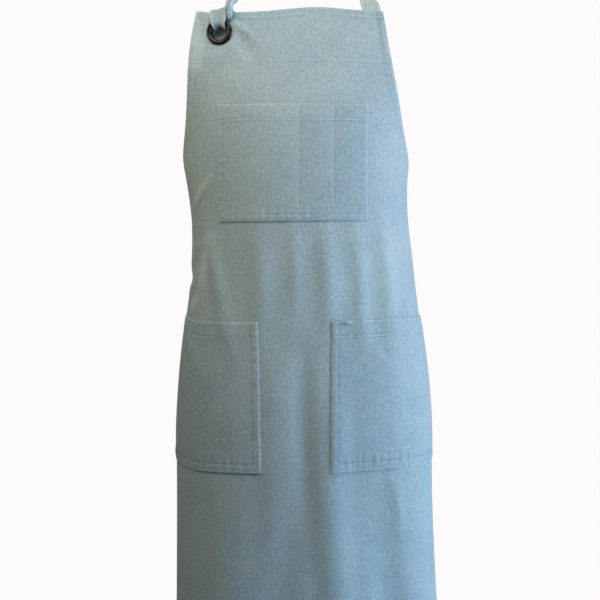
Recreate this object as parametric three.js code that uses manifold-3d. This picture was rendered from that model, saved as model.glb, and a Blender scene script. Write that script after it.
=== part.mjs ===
// A bib apron of cotton chambray in the form that it has when it is worn: the bib lies on the chest,
// the skirt wraps round the hips, the neck strap loops over the nape and the waist ties meet behind.
// Millimetres, +Z up. The front faces -Y. The origin is on the neck strap's inner face at the nape.
import * as THREE from "three";
import { mergeVertices } from "three/addons/utils/BufferGeometryUtils.js";
import Module from "manifold-3d";

const wasm = await Module();
wasm.setup();

// Cloth
const CLOTH = 1.2; // wall of one layer
const HEM_WALL = 2.4; // wall of a folded hem
const SEAT = 0.9; // clearance of one layer on the next, which the facets narrow to about 0.3
const FOLD_STEP = 1.5; // the slope where a hem's fold ends

// Cut of the panel, flat, measured down from the bib's top edge and across from the centre line
const LENGTH = 852;
const BIB_HALF_TOP = 127.5;
const BIB_TAPER = 0.19; // each half widens by this share of the drop, besides the armhole's curve
const SKIRT_HALF = 350;
const ARMHOLE_DROP = 295; // the armhole curve ends here, at the corner that carries the tie
const ARMHOLE_POWER = 4;
const TOP_DIP = 5.8; // the top edge hangs this much lower at its ends than at its peak
const TOP_PEAK = { across: 36, reach: 52 };
const SIDE_HEM = 11;
const BOTTOM_HEM = 26;
const FACING_DEPTH = 72;
const FACING_INSET = 1.2;
const SIDE_HEM_TOP = FACING_DEPTH + 12; // the side hems run into the facing from here

// Where the body's axis and the bib's top edge lie from the nape
const AXIS_Y = -70;
const TOP_Z = -75;

// Patch pockets, as flat distances on the panel: the mouth's left end, its width and drop, and how far
// each side edge leans over by the foot. The right hip pocket is the left one's mirror image.
const POCKET_HEM = 22;
const CHEST_POCKET = { left: -101, width: 208, leanLeft: -4, leanRight: -2, mouth: 131, depth: 158 };
const CHEST_SEAMS = [0, 112, 158.8, 208]; // compartments, from the pocket's left edge
const CHEST_SLACK = 1.6; // how far the cloth stands off between the seams, at the mouth
const HIP_POCKET = { left: -265.5, width: 216, leanLeft: 0, leanRight: 3, mouth: 425, depth: 205 };
const HIP_SLACK = 1.5;

// Eyelet, clinched through the bib and its facing
const EYELET = { across: -95.6, drop: 31.6, bore: 11.4, flange: 18.4, barrel: 12.4, washer: 17.6, curl: 14.2 };
const EYELET_HOLE = 13; // radius of the hole in the cloth
const EYELET_SIDES = 28;

// Straps and ties: flat tubes of folded cloth
const STRAP = { width: 25, wall: 2.4 };
const TIE_DROP = ARMHOLE_DROP + 15;
const TIE_SEWN = 26; // length of tie that is sewn behind the side hem
const TIE_SEAT = HEM_WALL + 1.6 * SEAT;

// What the cloth lies on, by its drop below the top edge: half the width, the front and the back from
// the section's middle, how far that middle is behind the body's axis and to the side of it, how far
// the cut has slid round the body, and how steeply it is hitched up towards the right.
const SECTIONS = [
  { drop: 0, half: 225, front: 72, back: 95, behind: -16, drift: -11.2, slide: 0, hitch: 0 },
  { drop: 70, half: 200, front: 88, back: 100, behind: -10, drift: -10.8, slide: 0, hitch: 0 },
  { drop: 150, half: 166, front: 107, back: 104, behind: -3, drift: -10.5, slide: 3.5, hitch: 0 },
  { drop: 220, half: 157.5, front: 109, back: 102, behind: 0, drift: -8.5, slide: 2, hitch: 0.004 },
  { drop: 290, half: 151.3, front: 105, back: 98, behind: 0, drift: -4, slide: -1, hitch: 0.012 },
  { drop: 360, half: 156.3, front: 104, back: 98, behind: 0, drift: -1, slide: -1, hitch: 0.013 },
  { drop: 430, half: 166, front: 107, back: 104, behind: 0, drift: 0, slide: -2, hitch: 0.02 },
  { drop: 500, half: 174.8, front: 112, back: 110, behind: 0, drift: 1, slide: -2, hitch: 0.025 },
  { drop: 580, half: 181, front: 116, back: 114, behind: 0, drift: 2, slide: -2.5, hitch: 0.028 },
  { drop: 700, half: 184.5, front: 118, back: 114, behind: 0, drift: 4, slide: -3, hitch: 0.028 },
  { drop: 852, half: 190.5, front: 121, back: 115, behind: 0, drift: 8, slide: -4, hitch: 0.028 },
];

// Soft folds. Each is highest midway between top and bottom, reaches to both sides of its line, leans
// across by so much for each unit of drop, and rises out of the cloth, or sinks if negative.
const FOLDS = [
  { across: -140, lean: 0.24, top: 265, bottom: 480, reach: 24, rise: 1.8 },
  { across: -48, lean: 0.0, top: 258, bottom: 480, reach: 30, rise: 2.6 },
  { across: 0, lean: 0.0, top: 258, bottom: 450, reach: 17, rise: 1.4 },
  { across: 42, lean: 0.03, top: 258, bottom: 490, reach: 26, rise: 2.3 },
  { across: 86, lean: 0.04, top: 265, bottom: 500, reach: 19, rise: 1.7 },
  { across: 127, lean: 0.05, top: 258, bottom: 500, reach: 24, rise: 2.3 },
  { across: 196, lean: 0.22, top: 235, bottom: 440, reach: 34, rise: 3.2 },
  { across: -196, lean: -0.22, top: 235, bottom: 440, reach: 34, rise: 3.2 },
  { across: -124, lean: 0.0, top: 430, bottom: 640, reach: 26, rise: 1.6 },
  { across: 140, lean: 0.02, top: 440, bottom: 660, reach: 24, rise: 1.4 },
  { across: -30, lean: 0.0, top: 430, bottom: 700, reach: 34, rise: 2.4 },
  { across: 11, lean: 0.0, top: 420, bottom: 720, reach: 24, rise: -2.6 },
  { across: 36, lean: 0.05, top: 430, bottom: 1020, reach: 40, rise: 5.5 },
  { across: 22, lean: -0.22, top: 580, bottom: 1020, reach: 42, rise: -4.5 },
  { across: 100, lean: 0.115, top: 590, bottom: 1050, reach: 40, rise: -4.5 },
  { across: 160, lean: 0.06, top: 560, bottom: 1100, reach: 44, rise: 5.0 },
  { across: -119, lean: 0.02, top: 580, bottom: 1100, reach: 60, rise: 4.5 },
  { across: -52, lean: -0.02, top: 600, bottom: 820, reach: 28, rise: -1.8 },
  { across: 262, lean: 0.02, top: 540, bottom: 1160, reach: 60, rise: -9.0 },
  { across: -262, lean: -0.02, top: 540, bottom: 1160, reach: 60, rise: -9.0 },
];

// Neck strap, from the bib's right corner round the nape to the knot on the left: its middle line, the
// way that its outer face looks, and its width where it is drawn in towards the knot.
const NECK_PATH = [
  { x: 88.5, y: -114, z: -50, faceX: 0.66, faceY: -0.56, faceZ: 0.5, width: STRAP.width },
  { x: 77, y: -90, z: -29, faceX: 0.75, faceY: -0.35, faceZ: 0.55, width: STRAP.width },
  { x: 64.5, y: -62, z: -11, faceX: 0.9, faceY: 0, faceZ: 0.35, width: STRAP.width },
  { x: 49, y: -25, z: -3, faceX: 0.8, faceY: 0.6, faceZ: 0.1, width: STRAP.width },
  { x: 26, y: -4.5, z: 0, faceX: 0.4, faceY: 0.9, faceZ: 0, width: STRAP.width },
  { x: 0, y: STRAP.wall / 2, z: 0, faceX: 0, faceY: 1, faceZ: 0, width: STRAP.width },
  { x: -26, y: -4.5, z: 0, faceX: -0.4, faceY: 0.9, faceZ: 0, width: STRAP.width },
  { x: -49, y: -25, z: -3, faceX: -0.8, faceY: 0.6, faceZ: 0.1, width: STRAP.width },
  { x: -63.5, y: -68, z: -12, faceX: -0.95, faceY: 0, faceZ: 0.2, width: 24 },
  { x: -72.5, y: -97, z: -29, faceX: -0.92, faceY: -0.2, faceZ: 0.3, width: 20 },
  { x: -81, y: -121, z: -47, faceX: -0.8, faceY: -0.5, faceZ: 0.3, width: 15 },
  { x: -88.6, y: -141, z: -62, faceX: -0.62, faceY: -0.75, faceZ: 0.25, width: 11.5 },
];
const STRAP_SEAM = { across: 113, out: -2 * CLOTH - 2 * SEAT - 0.85 * STRAP.wall };

// Loop from the front of the bib through the eyelet and back over the top edge: where its middle line
// runs across the bib, below the top edge and in front of the cloth, its width there, and how far its
// face leans to the left. The knot that closes it sits beside it on the edge, and the strap's free end
// goes from the knot over the edge.
const LOOP_PATH = [
  { across: -95.7, drop: 8, out: -9.6, width: 21, lean: 0 },
  { across: -95.7, drop: 17, out: -10.8, width: 18, lean: 0 },
  { across: -95.6, drop: 24, out: -9, width: 15.2, lean: 0 },
  { across: -95.6, drop: 25, out: -2.6, width: 14.4, lean: 0 },
  { across: -95.6, drop: 24.8, out: 2.6, width: 14.4, lean: 0 },
  { across: -95.7, drop: 21.2, out: 6.2, width: 18, lean: 0 },
  { across: -95.8, drop: 14.5, out: 6.8, width: 21.5, lean: 0 },
  { across: -96, drop: 7.5, out: 5.6, width: 23.6, lean: 0.05 },
  { across: -96, drop: 2.2, out: 2.9, width: 24, lean: 0.2 },
  { across: -96, drop: 1.3, out: -2.1, width: 24, lean: 0.2 },
  { across: -95.9, drop: 3.6, out: -5.4, width: 23, lean: 0.1 },
];
const STRAP_KNOT = { across: -79.6, drop: 7.4, out: 6.4, halfX: 3.4, halfY: 5.2, halfZ: 8.4 };
const TAIL_PATH = [
  { across: -79.4, drop: 3.4, out: 0.8, width: 7.6 },
  { across: -79.4, drop: 2.8, out: -4.6, width: 7.6 },
  { across: -79, drop: 4, out: -11, width: 11 },
  { across: -82, drop: 8, out: -14.6, width: 15 },
  { across: -88, drop: 15, out: -15.4, width: 20 },
  { across: -95, drop: 28, out: -15.4, width: 25 },
  { across: -97, drop: 46, out: -14.6, width: 25 },
  { across: -96.5, drop: 80, out: -11.6, width: 25 },
  { across: -96, drop: 118, out: -8.7, width: 25 },
];

// Bow at the small of the back, measured from the knot's middle, for the right side: along the back,
// away from it, and up.
const WAIST_KNOT = { halfX: 15, halfY: 9, halfZ: 12, out: 2.6 };
const BOW_PATH = [
  { along: 14, away: -5, up: 2, width: 16 },
  { along: 40, away: -4, up: 5, width: 22 },
  { along: 80, away: -2, up: -3, width: 25 },
  { along: 104, away: 1, up: -13, width: 25 },
  { along: 110, away: 7, up: -17, width: 25 },
  { along: 102, away: 12, up: -14, width: 25 },
  { along: 78, away: 12, up: -5, width: 25 },
  { along: 40, away: 9, up: 2, width: 22 },
  { along: 14, away: 5, up: 0, width: 16 },
];
const TIE_END_PATH = [
  { along: 8.6, away: -1, up: -11.4, width: 16 },
  { along: 13, away: 1, up: -45, width: 22 },
  { along: 22, away: 8, up: -120, width: 25 },
  { along: 29, away: 15, up: -200, width: 25 },
  { along: 32, away: 19, up: -285, width: 25 },
];

const COTTON = new THREE.MeshStandardMaterial({ color: 0x9db8c8, roughness: 0.95, metalness: 0 });
const STRAP_COTTON = new THREE.MeshStandardMaterial({ color: 0xa6bfcc, roughness: 0.95, metalness: 0 });
const GUNMETAL = new THREE.MeshStandardMaterial({ color: 0x2b2724, roughness: 0.3, metalness: 0.9 });

// Smooth value of one column of a table at a drop, by a cubic through its rows.
function columnAt(table, key, drop) {
  const last = table.length - 1;
  let row = 0;
  while (row < last - 1 && drop > table[row + 1].drop) row += 1;
  const slope = (i) => {
    const a = table[Math.max(i - 1, 0)];
    const b = table[Math.min(i + 1, last)];
    return (b[key] - a[key]) / (b.drop - a.drop);
  };
  const [low, high] = [table[row], table[row + 1]];
  const span = high.drop - low.drop;
  const t = THREE.MathUtils.clamp((drop - low.drop) / span, 0, 1);
  const eased = t * t * (3 - 2 * t);
  const enter = span * slope(row) * t * (1 - t) * (1 - t);
  const leave = span * slope(row + 1) * t * t * (1 - t);
  return THREE.MathUtils.lerp(low[key], high[key], eased) + enter - leave;
}

// The body's section at a drop: half an oval from the front to the middle of the back.
function sectionAt(drop) {
  const at = (key) => columnAt(SECTIONS, key, drop);
  const [half, front, back, behind] = [at("half"), at("front"), at("back"), at("behind")];
  const points = [];
  const steps = 90;
  for (let i = 0; i <= steps; i += 1) {
    const turn = (i / steps) * Math.PI;
    const deep = turn < Math.PI / 2 ? front : back;
    points.push(new THREE.Vector2(half * Math.sin(turn), AXIS_Y + behind - deep * Math.cos(turn)));
  }
  return { points, drift: at("drift"), slide: at("slide"), hitch: at("hitch") };
}

// Length of the section from the front's middle to the back's middle.
function halfGirth(drop) {
  const { points } = sectionAt(drop);
  return points.slice(1).reduce((sum, point, i) => sum + point.distanceTo(points[i]), 0);
}

// Where a point of the flat cut lies on the body, before it is folded.
function wrap(across, drop) {
  const { points, drift, slide, hitch } = sectionAt(drop);
  let left = Math.abs(across + slide);
  let i = 0;
  while (i < points.length - 2 && left > points[i].distanceTo(points[i + 1])) {
    left -= points[i].distanceTo(points[i + 1]);
    i += 1;
  }
  const share = left / points[i].distanceTo(points[i + 1]);
  const at = points[i].clone().lerp(points[i + 1], share);
  const x = Math.sign(across + slide) * at.x;
  return new THREE.Vector3(x + drift, at.y, TOP_Z - drop + hitch * x);
}

// How far the soft folds lift the cloth out of the body's form.
function foldLift(across, drop) {
  return FOLDS.reduce((sum, fold) => {
    const side = (across - fold.across - fold.lean * (drop - fold.top)) / fold.reach;
    const down = (drop - fold.top) / (fold.bottom - fold.top);
    if (Math.abs(side) >= 1 || down <= 0 || down >= 1) return sum;
    return sum + fold.rise * Math.cos((side * Math.PI) / 2) ** 2 * Math.sin(down * Math.PI) ** 1.5;
  }, 0);
}

// Outward normal of a surface that takes a flat point to a place.
function normalOf(surface, across, drop) {
  const step = 1.5;
  const acrossWay = surface(across + step, drop).sub(surface(across - step, drop));
  const downWay = surface(across, drop + step).sub(surface(across, drop - step));
  return downWay.cross(acrossWay).normalize();
}

// The panel's front face, and a place so far in front of it, or behind it if negative.
function face(across, drop) {
  return wrap(across, drop).addScaledVector(normalOf(wrap, across, drop), foldLift(across, drop));
}
function offFace(across, drop, out) {
  return face(across, drop).addScaledVector(normalOf(face, across, drop), out);
}

// Half the width of the cut at a drop.
function halfCut(drop) {
  const share = THREE.MathUtils.clamp(drop / ARMHOLE_DROP, 0, 1);
  const straight = BIB_HALF_TOP + BIB_TAPER * ARMHOLE_DROP * share;
  const curve = SKIRT_HALF - BIB_HALF_TOP - BIB_TAPER * ARMHOLE_DROP;
  return straight + curve * share ** ARMHOLE_POWER;
}

// A box of cloth bent into place: place takes each corner's column, row and layer, where layer 1 is the
// front face and 0 the back one.
function bentCloth(columns, rows, place) {
  const box = new THREE.BoxGeometry(1, 1, 1, columns, rows, 1);
  const corners = box.getAttribute("position");
  for (let i = 0; i < corners.count; i += 1) {
    const column = Math.round((corners.getX(i) + 0.5) * columns);
    const row = Math.round((0.5 - corners.getY(i)) * rows);
    const at = place(column, row, corners.getZ(i) > 0 ? 1 : 0);
    corners.setXYZ(i, at.x, at.y, at.z);
  }
  return closed(box);
}

// One surface with shared corners.
function closed(geometry) {
  geometry.deleteAttribute("normal");
  geometry.deleteAttribute("uv");
  const merged = mergeVertices(geometry, 1e-3);
  merged.computeVertexNormals();
  return merged;
}

function solidOf(geometry) {
  const vertProperties = new Float32Array(geometry.getAttribute("position").array);
  const triVerts = new Uint32Array(geometry.index.array);
  return new wasm.Manifold(new wasm.Mesh({ numProp: 3, vertProperties, triVerts }));
}

function cutAway(geometry, tool) {
  const { vertProperties, triVerts } = solidOf(geometry).subtract(solidOf(tool)).getMesh();
  const cut = new THREE.BufferGeometry();
  cut.setAttribute("position", new THREE.BufferAttribute(vertProperties, 3));
  cut.setIndex(new THREE.BufferAttribute(triVerts, 1));
  cut.computeVertexNormals();
  return cut;
}

function piece(name, geometry, material) {
  const mesh = new THREE.Mesh(geometry, material);
  mesh.name = name;
  return mesh;
}

// Position of a row or column when the first and last of them run along a hem's fold.
function hemmedStep(index, count, length, startHem, endHem) {
  const starts = startHem ? [0, startHem, startHem + FOLD_STEP] : [0];
  const ends = endHem ? [length - endHem - FOLD_STEP, length - endHem, length] : [length];
  if (index < starts.length) return starts[index];
  if (count - index < ends.length) return ends[ends.length - 1 - (count - index)];
  const first = starts[starts.length - 1];
  const share = (index - starts.length + 1) / (count - starts.length - ends.length + 2);
  return THREE.MathUtils.lerp(first, ends[0], share);
}

// Frame at the eyelet's middle: its axis looks out of the cloth along the lathe's own Y axis.
function atEyelet(object) {
  const out = normalOf(face, EYELET.across, EYELET.drop);
  object.position.copy(face(EYELET.across, EYELET.drop));
  object.quaternion.setFromUnitVectors(new THREE.Vector3(0, 1, 0), out);
  object.updateMatrix();
  return object;
}

function eyeletPunch() {
  const punch = new THREE.CylinderGeometry(EYELET_HOLE, EYELET_HOLE, 40, EYELET_SIDES);
  return closed(punch.applyMatrix4(atEyelet(new THREE.Object3D()).matrix));
}

// Lower towards the ends of the top edge, fading out over the facing.
function bowed(across, drop) {
  const fade = Math.max(0, 1 - drop / (1.25 * FACING_DEPTH));
  const aside = (across - TOP_PEAK.across) / TOP_PEAK.reach;
  return drop + TOP_DIP * fade * (1 - Math.exp(-(aside ** 2)));
}

function panel() {
  const columns = 43;
  const rows = 32;
  const place = (column, row, layer) => {
    const drop = hemmedStep(row, rows, LENGTH, 0, BOTTOM_HEM);
    const half = halfCut(drop);
    const across = hemmedStep(column, columns, 2 * half, SIDE_HEM, SIDE_HEM) - half;
    const inSideHem = (column < 2 || column > columns - 2) && drop > SIDE_HEM_TOP;
    const wall = inSideHem || row > rows - 2 ? HEM_WALL : CLOTH;
    return offFace(across, bowed(across, drop), layer ? 0 : -wall);
  };
  return piece("panel", cutAway(bentCloth(columns, rows, place), eyeletPunch()), COTTON);
}

function bibFacing() {
  const columns = 22;
  const rows = 4;
  const place = (column, row, layer) => {
    const drop = FACING_INSET + (row / rows) * (FACING_DEPTH - 2 * FACING_INSET);
    const half = halfCut(drop) - FACING_INSET;
    const across = THREE.MathUtils.lerp(-half, half, column / columns);
    return offFace(across, bowed(across, drop), -CLOTH - SEAT - (layer ? 0 : CLOTH));
  };
  return piece("bib_facing", cutAway(bentCloth(columns, rows, place), eyeletPunch()), COTTON);
}

// A patch sewn to the panel at its sides, its foot and its inner seams, slack towards the mouth.
function patchPocket(name, size, seams, slack, rows) {
  const columns = 15;
  const { left, width, leanLeft, leanRight, mouth, depth } = size;
  const place = (column, row, layer) => {
    const along = (column / columns) * width;
    const down = hemmedStep(row, rows, depth, POCKET_HEM, 0);
    const seam = seams.findIndex((_, i) => along <= seams[i + 1]);
    const between = (along - seams[seam]) / (seams[seam + 1] - seams[seam]);
    const footShare = down / depth;
    const bulge = slack * Math.sin(between * Math.PI) * Math.cos((footShare * Math.PI) / 2);
    const lean = footShare * THREE.MathUtils.lerp(leanLeft, leanRight, along / width);
    return offFace(left + along + lean, mouth + down, SEAT + bulge + layer * CLOTH);
  };
  return piece(name, bentCloth(columns, rows, place), COTTON);
}

// The same patch on the other side of the centre line.
function mirrored(size) {
  const { left, width, leanLeft, leanRight } = size;
  return { ...size, left: -left - width, leanLeft: -leanRight, leanRight: -leanLeft };
}

// Two halves of the eyelet, turned about its axis: the domed flange with its barrel, whose end is
// curled over the washer behind the cloth.
function eyelet() {
  const { bore, flange, barrel, washer, curl } = EYELET;
  const stack = 2 * CLOTH + SEAT;
  const seat = 0.7;
  const behind = -stack - seat - 0.3;
  const turned = (profile) =>
    closed(new THREE.LatheGeometry(profile.map(([r, y]) => new THREE.Vector2(r, y)), EYELET_SIDES));
  const flangeProfile = [
    [barrel, seat],
    [flange - 0.5, seat],
    [flange, seat + 0.7],
    [flange - 0.9, seat + 2],
    [flange - 3, seat + 2.7],
    [bore + 1.4, seat + 2.2],
    [bore, seat + 0.8],
    [bore, behind - 3],
    [curl - 1, behind - 3],
    [curl, behind - 2.4],
    [curl - 0.6, behind - 1.7],
    [barrel, behind - 1.7],
    [barrel, seat],
  ];
  const washerProfile = [
    [barrel + 0.3, behind - 1.4],
    [washer, behind - 1],
    [washer, behind],
    [barrel + 0.3, behind],
    [barrel + 0.3, behind - 1.4],
  ];
  const group = atEyelet(new THREE.Group());
  group.add(
    piece("eyelet_flange", turned(flangeProfile), GUNMETAL),
    piece("eyelet_washer", turned(washerProfile), GUNMETAL),
  );
  return group;
}

// A flat strap along a smooth line. Each stop gives the middle line's place, the way that the strap's
// face looks and its width there.
function strapGeometry(stops, steps) {
  const line = new THREE.CatmullRomCurve3(stops.map((stop) => stop.at), false, "centripetal");
  const looks = new THREE.CatmullRomCurve3(stops.map((stop) => stop.look), false, "centripetal");
  const frames = [];
  for (let i = 0; i <= steps; i += 1) {
    const t = i / steps;
    const reach = t * (stops.length - 1);
    const stop = Math.min(Math.floor(reach), stops.length - 2);
    const width = THREE.MathUtils.lerp(stops[stop].width, stops[stop + 1].width, reach - stop);
    const ahead = line.getTangent(t);
    const side = looks.getPoint(t).cross(ahead).normalize();
    frames.push({ at: line.getPoint(t), side, look: ahead.clone().cross(side), width });
  }
  return bentCloth(1, steps, (column, row, layer) => {
    const { at, side, look, width } = frames[row];
    const point = at.clone().addScaledVector(side, (column - 0.5) * width);
    return point.addScaledVector(look, (layer - 0.5) * STRAP.wall);
  });
}

function seamStop(across, drop, out, width = STRAP.width) {
  return { at: offFace(across, drop, out), look: normalOf(face, across, drop), width };
}

function neckStrap() {
  const { across, out } = STRAP_SEAM;
  const free = NECK_PATH.map(({ x, y, z, faceX, faceY, faceZ, width }) => ({
    at: new THREE.Vector3(x, y, z),
    look: new THREE.Vector3(faceX, faceY, faceZ),
    width,
  }));
  const knotTop = knotMiddle().add(new THREE.Vector3(-0.5, -1, STRAP_KNOT.halfZ + 2.6));
  const gathered = { at: knotTop, look: new THREE.Vector3(-0.5, -0.85, 0), width: 8 };
  const stops = [seamStop(across, 24, out), seamStop(across, 4, out), ...free, gathered];
  return piece("neck_strap", strapGeometry(stops, 48), STRAP_COTTON);
}

// A strap that runs down the cloth and over its edge: its face is square to its line.
function overEdge(path) {
  return path.map(({ across, drop, out, width, lean = 0 }, i) => {
    const outward = normalOf(face, across, EYELET.drop);
    const before = path[Math.max(i - 1, 0)];
    const after = path[Math.min(i + 1, path.length - 1)];
    const ahead = new THREE.Vector2(after.out - before.out, before.drop - after.drop).normalize();
    const look = outward.clone().multiplyScalar(ahead.y).add(new THREE.Vector3(-lean, 0, -ahead.x));
    return { at: offFace(across, drop, out), look, width };
  });
}

function strapLoop() {
  return piece("strap_loop", strapGeometry(overEdge(LOOP_PATH), 36), STRAP_COTTON);
}

function knotMiddle() {
  return offFace(STRAP_KNOT.across, STRAP_KNOT.drop, STRAP_KNOT.out);
}

// A drawn-up knot: a ball flattened to its three half sizes.
function knotGeometry({ halfX, halfY, halfZ }, middle) {
  const ball = closed(new THREE.SphereGeometry(1, 16, 10));
  return ball.scale(halfX, halfY, halfZ).translate(middle.x, middle.y, middle.z);
}

function strapKnot() {
  return piece("strap_knot", knotGeometry(STRAP_KNOT, knotMiddle()), STRAP_COTTON);
}

function strapTail() {
  return piece("strap_tail", strapGeometry(overEdge(TAIL_PATH), 20), STRAP_COTTON);
}

// The small of the back, where the ties meet.
function backMiddle() {
  const { points, drift } = sectionAt(TIE_DROP);
  return new THREE.Vector3(drift, points[points.length - 1].y, TOP_Z - TIE_DROP);
}

function waistTie(name, side) {
  const columns = 10;
  const start = SKIRT_HALF - TIE_SEWN;
  const end = halfGirth(TIE_DROP) - side * sectionAt(TIE_DROP).slide - WAIST_KNOT.halfX + 4;
  const place = (column, row, layer) => {
    const share = side > 0 ? column / columns : 1 - column / columns;
    const across = side * THREE.MathUtils.lerp(start, end, share);
    const drop = TIE_DROP + (row - 0.5) * STRAP.width;
    return offFace(across, drop, -TIE_SEAT - (layer ? 0 : STRAP.wall));
  };
  return piece(name, bentCloth(columns, 1, place), STRAP_COTTON);
}

// Bow pieces: the path's stops mirrored to one side of the knot.
function bowStrap(name, path, side, look, steps) {
  const middle = backMiddle();
  const stops = path.map(({ along, away, up, width }, i) => ({
    at: middle.clone().add(new THREE.Vector3(side * along, WAIST_KNOT.out + away, up)),
    look: look(path, i, side),
    width,
  }));
  return piece(name, strapGeometry(stops, steps), STRAP_COTTON);
}

// A bow loop stands on edge, so its face is square to its line seen from above.
function loopLook(path, i, side) {
  const before = path[Math.max(i - 1, 0)];
  const after = path[Math.min(i + 1, path.length - 1)];
  return new THREE.Vector3(after.away - before.away, side * (before.along - after.along), 0);
}

function hangingLook() {
  return new THREE.Vector3(0, 1, 0);
}

function waistKnot() {
  const middle = backMiddle().add(new THREE.Vector3(0, WAIST_KNOT.out, 0));
  return piece("waist_knot", knotGeometry(WAIST_KNOT, middle), STRAP_COTTON);
}

const apron = new THREE.Group();
apron.add(
  panel(),
  bibFacing(),
  patchPocket("chest_pocket", CHEST_POCKET, CHEST_SEAMS, CHEST_SLACK, 8),
  eyelet(),
  neckStrap(),
  strapLoop(),
  strapKnot(),
  strapTail(),
  waistKnot(),
);
for (const [name, side] of [["left", -1], ["right", 1]]) {
  const size = side > 0 ? mirrored(HIP_POCKET) : HIP_POCKET;
  apron.add(
    patchPocket(`hip_pocket_${name}`, size, [0, size.width], HIP_SLACK, 10),
    waistTie(`waist_tie_${name}`, side),
    bowStrap(`bow_loop_${name}`, BOW_PATH, side, loopLook, 28),
    bowStrap(`tie_end_${name}`, TIE_END_PATH, side, hangingLook, 16),
  );
}

export default apron;
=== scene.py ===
"""Looks of a worn bib apron of cotton chambray: cloth, seams, stitches, straps and eyelet, in metres."""
import math
import random
from collections import namedtuple

import bmesh
import bpy
import numpy as np
from mathutils import Matrix, Vector


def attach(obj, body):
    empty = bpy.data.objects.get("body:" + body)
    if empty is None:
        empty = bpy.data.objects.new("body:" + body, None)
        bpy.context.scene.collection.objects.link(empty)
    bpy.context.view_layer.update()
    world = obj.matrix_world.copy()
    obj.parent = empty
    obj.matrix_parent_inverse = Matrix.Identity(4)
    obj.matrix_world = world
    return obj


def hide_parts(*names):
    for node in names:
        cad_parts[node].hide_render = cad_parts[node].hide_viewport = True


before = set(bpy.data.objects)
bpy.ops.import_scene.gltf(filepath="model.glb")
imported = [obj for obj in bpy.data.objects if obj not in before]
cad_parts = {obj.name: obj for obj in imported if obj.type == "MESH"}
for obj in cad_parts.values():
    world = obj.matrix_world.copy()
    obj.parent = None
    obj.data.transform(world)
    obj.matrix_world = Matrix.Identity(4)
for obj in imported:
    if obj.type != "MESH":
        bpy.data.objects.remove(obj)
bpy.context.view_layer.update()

# Cloth
CLOTH = 0.0012
HEM_WALL = 0.0024
SEAT = 0.0009  # clearance of one layer on the next

# Cut of the panel, flat: measured down from the bib's top edge and across from the centre line
LENGTH = 0.852
BIB_HALF_TOP = 0.1275
BIB_TAPER = 0.19
SKIRT_HALF = 0.35
ARMHOLE_DROP = 0.295
ARMHOLE_POWER = 4
BIB_SPREAD = BIB_TAPER * ARMHOLE_DROP
ARMHOLE_SPREAD = SKIRT_HALF - BIB_HALF_TOP - BIB_SPREAD
TOP_DIP = 0.0058
LEFT_LIFT = 0.42  # share of the dip that the left corner keeps up
TOP_PEAK = 0.036
TOP_REACH = 0.052
SIDE_HEM = 0.011
SIDE_STITCH = SIDE_HEM - 0.001
BOTTOM_HEM = 0.026
BOTTOM_STITCH = BOTTOM_HEM - 0.002
FACING_DEPTH = 0.072
FACING_STITCH = FACING_DEPTH - 0.001
FACING_INSET = 0.0012
SIDE_HEM_TOP = FACING_DEPTH + 0.012
TOP_STITCH = 0.008
TOP_HEM = TOP_STITCH + 0.0026
RUB_REACH = 0.0022  # how far in an edge is rubbed pale
HEM_RISE = 0.0005  # how far a turned hem stands out
PANEL_STEP = 0.0042

# Where the body's axis and the bib's top edge lie from the nape
AXIS_Y = -0.07
TOP_Z = -0.075

MM = 1000  # in a metre


def in_metres(kind, rows, *plain):
    """A table's rows, in millimetres but for the plain columns."""
    units = [1 if column in plain else MM for column in kind._fields]
    return [kind(*(value / unit for value, unit in zip(row, units))) for row in rows]


# The body by drop: its half width, its depths and place, and how the cut has slid and been hitched up on it
Section = namedtuple("Section", "half front back behind drift slide hitch")
SECTIONS = np.array([
    (0, 225, 72, 95, -16, -11.2, 0, 0.0), (70, 200, 88, 100, -10, -10.8, 0, 0.0),
    (150, 166, 107, 104, -3, -10.5, 3.5, 0.0), (220, 157.5, 109, 102, 0, -8.5, 2, 0.004),
    (290, 151.3, 105, 98, 0, -4, -1, 0.012), (360, 156.3, 104, 98, 0, -1, -1, 0.013),
    (430, 166, 107, 104, 0, 0, -2, 0.02), (500, 174.8, 112, 110, 0, 1, -2, 0.025),
    (580, 181, 116, 114, 0, 2, -2.5, 0.028), (700, 184.5, 118, 114, 0, 4, -3, 0.028),
    (852, 190.5, 121, 115, 0, 8, -4, 0.028),
]) / ([MM] * 7 + [1])

# Soft folds that run down the cloth and lean across it
Fold = namedtuple("Fold", "across lean top bottom reach rise")
FOLDS = in_metres(Fold, [
    (-140, 0.24, 265, 480, 21, 4.6), (-48, 0.0, 258, 480, 26, 4.2), (0, 0.0, 258, 450, 15, 2.2),
    (42, 0.03, 258, 490, 22, 5.3), (86, 0.04, 265, 500, 17, 4.3), (127, 0.05, 258, 500, 21, 5.7),
    (196, 0.22, 235, 440, 34, 3.2), (-196, -0.22, 235, 440, 34, 3.2), (-124, 0.0, 430, 640, 26, 1.6),
    (140, 0.02, 440, 660, 24, 1.4), (-30, 0.0, 430, 700, 34, 2.4), (11, 0.0, 420, 720, 22, -4.4),
    (36, 0.05, 430, 1020, 37, 7.8), (22, -0.22, 580, 1020, 42, -4.5), (100, 0.115, 590, 1050, 36, -5),
    (160, 0.06, 560, 1100, 44, 4.2), (-119, 0.02, 580, 1100, 60, 4.5), (-52, -0.02, 600, 820, 28, -1.8),
    (262, 0.02, 540, 1160, 60, -9), (-262, -0.02, 540, 1160, 60, -9),
], "lean")

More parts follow.
